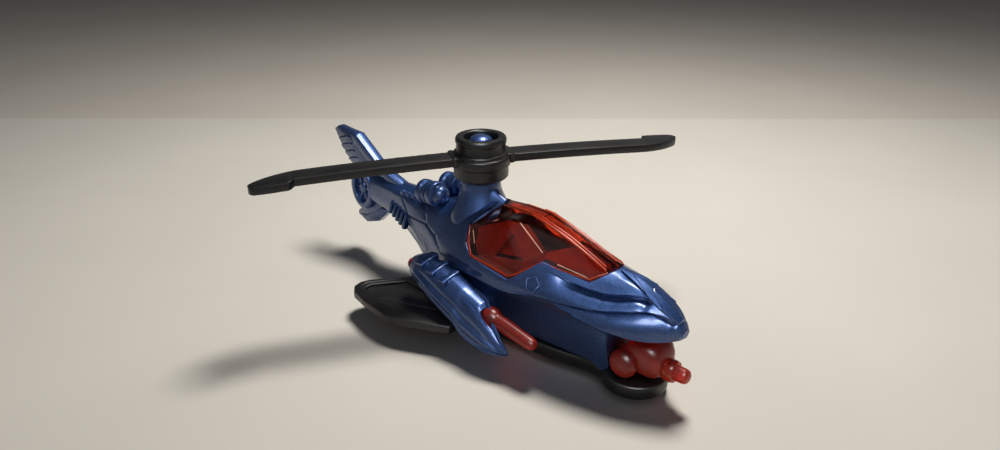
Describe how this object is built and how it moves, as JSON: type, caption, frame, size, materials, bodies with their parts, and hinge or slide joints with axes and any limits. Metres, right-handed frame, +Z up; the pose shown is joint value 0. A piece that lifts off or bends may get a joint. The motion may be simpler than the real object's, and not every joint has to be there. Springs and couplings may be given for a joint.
{
  "type": "toy helicopter",
  "caption": "Die-cast toy helicopter with a spinning two-bladed rotor, clear canopy, gun pods, stub wings and free-rolling axles under the base.",
  "frame": {"origin": "on the ground plane under the rotor mast, at the middle of the overall length and width", "axes": "+X to the nose, +Y to port, +Z up"},
  "size_m": [0.0846, 0.0674, 0.0325],
  "materials": {
    "enamelled_metal": "metallic blue enamel over die-cast zinc",
    "black_plastic": "satin moulded black plastic",
    "clear_red": "clear red-orange moulded plastic",
    "axle_steel": "drawn steel wire"
  },
  "bodies": {
    "airframe": {"body_casting": "enamelled_metal", "base_plate": "black_plastic", "canopy_window": "clear_red", "cockpit_insert": "black_plastic", "chin_turret": "clear_red", "pod_gun_starboard": "clear_red", "pod_gun_port": "clear_red"},
    "rotor": {"rotor": "black_plastic"},
    "front_rollers": {"front_axle": "axle_steel", "front_wheel_starboard": "black_plastic", "front_wheel_port": "black_plastic"},
    "rear_rollers": {"rear_axle": "axle_steel", "rear_wheel_starboard": "black_plastic", "rear_wheel_port": "black_plastic"}
  },
  "joints": [
    {"name": "rotor_spin", "type": "hinge", "parent": "airframe", "child": "rotor", "pos_m": [0, 0, 0.0284], "axis": [0, 0, 1], "continuous": true},
    {"name": "front_roll", "type": "hinge", "parent": "airframe", "child": "front_rollers", "pos_m": [0.0155, 0, 0.0022], "axis": [0, 1, 0], "continuous": true},
    {"name": "rear_roll", "type": "hinge", "parent": "airframe", "child": "rear_rollers", "pos_m": [-0.0045, 0, 0.0022], "axis": [0, 1, 0], "continuous": true}
  ]
}
